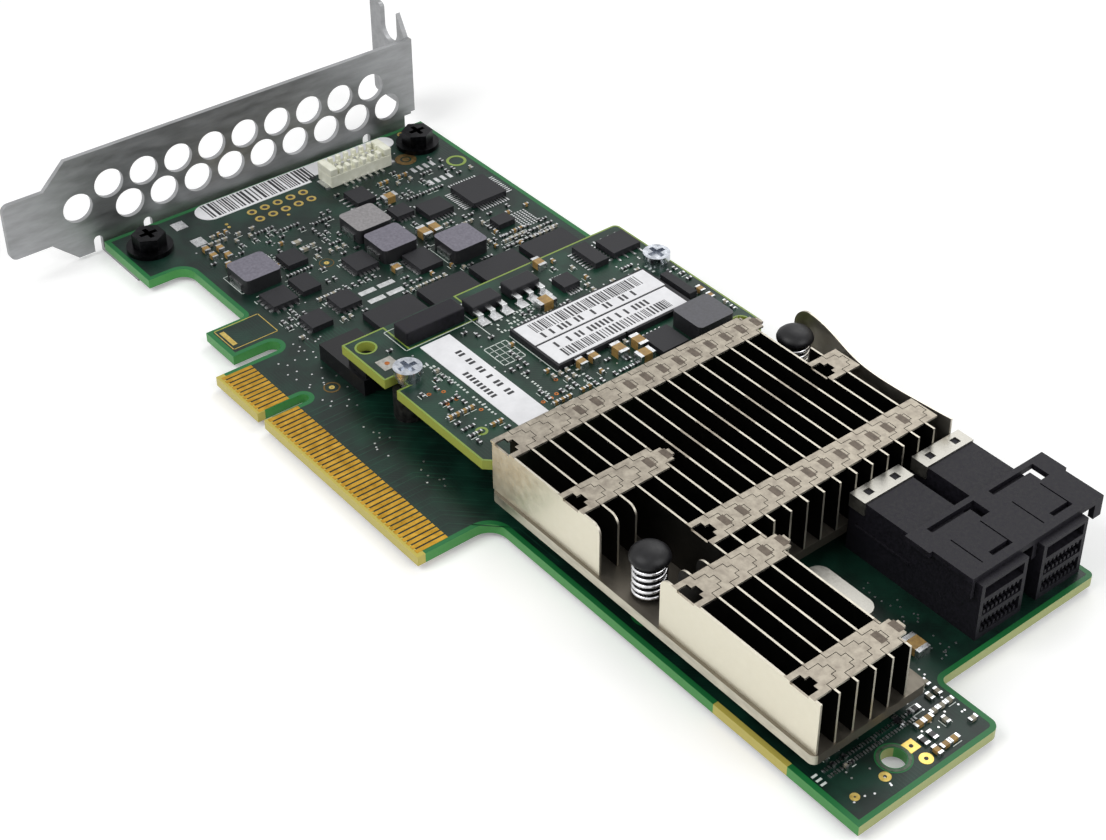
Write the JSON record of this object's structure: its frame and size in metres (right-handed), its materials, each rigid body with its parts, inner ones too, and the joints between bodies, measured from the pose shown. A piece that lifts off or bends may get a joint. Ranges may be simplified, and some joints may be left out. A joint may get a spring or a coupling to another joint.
{
  "type": "raid controller card",
  "caption": "Low-profile expansion board with perforated slot bracket, zipper-fin heat sink, stacked cache board and side-entry drive connectors.",
  "frame": {"origin": "middle of the edge connector's key notch, on the edge tab's rim, at the component face", "axes": "+X along the board from the bracket to the drive connectors, +Y from the edge contacts across the board, +Z out of the component face"},
  "size_m": [0.1793, 0.0834, 0.023],
  "materials": {
    "board_mask": "glossy green solder mask over glass fibre",
    "deck_mask": "glossy green solder mask over glass fibre",
    "gold_plate": "plated gold",
    "bracket_steel": "zinc plated sheet steel",
    "black_screw": "black zinc",
    "bright_screw": "nickel plated steel",
    "post_brass": "tin plated brass",
    "fin_aluminium": "stamped sheet, plain",
    "base_aluminium": "machined plate",
    "black_plastic": "moulded, fine texture",
    "port_plastic": "moulded, fine texture",
    "latch_steel": "stamped stainless sheet",
    "spring_steel": "nickel plated wire",
    "white_plastic": "moulded nylon",
    "tin_plate": "bright tin",
    "chip_epoxy": "moulded epoxy, satin",
    "ferrite": "pressed iron powder, painted top",
    "light_ferrite": "pressed iron powder, light top",
    "dark_ferrite": "pressed iron powder",
    "ceramic_tan": "fired ceramic",
    "paper_label": "coated paper",
    "pad_grey": "soft silicone sheet"
  },
  "bodies": {
    "root": {"main_board": "board_mask", "edge_contacts": "gold_plate", "io_bracket": "bracket_steel", "bracket_screws": "black_screw", "daughter_board": "deck_mask", "board_posts": "post_brass", "post_screws": "bright_screw", "heat_sink_base": "base_aluminium", "fins_front_left": "fin_aluminium", "fins_front_right": "fin_aluminium", "fins_cross": "fin_aluminium", "fin_long": "fin_aluminium", "fins_main": "fin_aluminium", "fin_pin_side": "fin_aluminium", "fin_last": "fin_aluminium", "fin_rear": "fin_aluminium", "push_pins": "black_plastic", "pin_springs": "spring_steel", "processor": "chip_epoxy", "thermal_pad": "pad_grey", "drive_port_shells": "port_plastic", "drive_port_contacts": "port_plastic", "drive_port_clips": "latch_steel", "drive_port_latch": "port_plastic", "power_chokes": "ferrite", "light_choke": "light_ferrite", "choke_feet": "tin_plate", "daughter_choke": "dark_ferrite", "quad_package": "chip_epoxy", "quad_leads": "tin_plate", "memory_chips": "chip_epoxy", "driver_chips": "chip_epoxy", "driver_pads": "tin_plate", "outline_chips": "chip_epoxy", "outline_leads": "tin_plate", "cache_chips": "chip_epoxy", "power_transistors": "chip_epoxy", "transistor_tabs": "tin_plate", "transistor_leads": "tin_plate", "crystal_can": "bright_screw", "battery_header": "white_plastic", "header_pins": "tin_plate", "stack_socket": "black_plastic", "stack_plug": "black_plastic", "ceramic_capacitors": "ceramic_tan", "capacitor_ends": "tin_plate", "board_label": "paper_label", "deck_label": "paper_label", "cache_labels": "paper_label", "plated_rings": "gold_plate"}
  },
  "joints": []
}
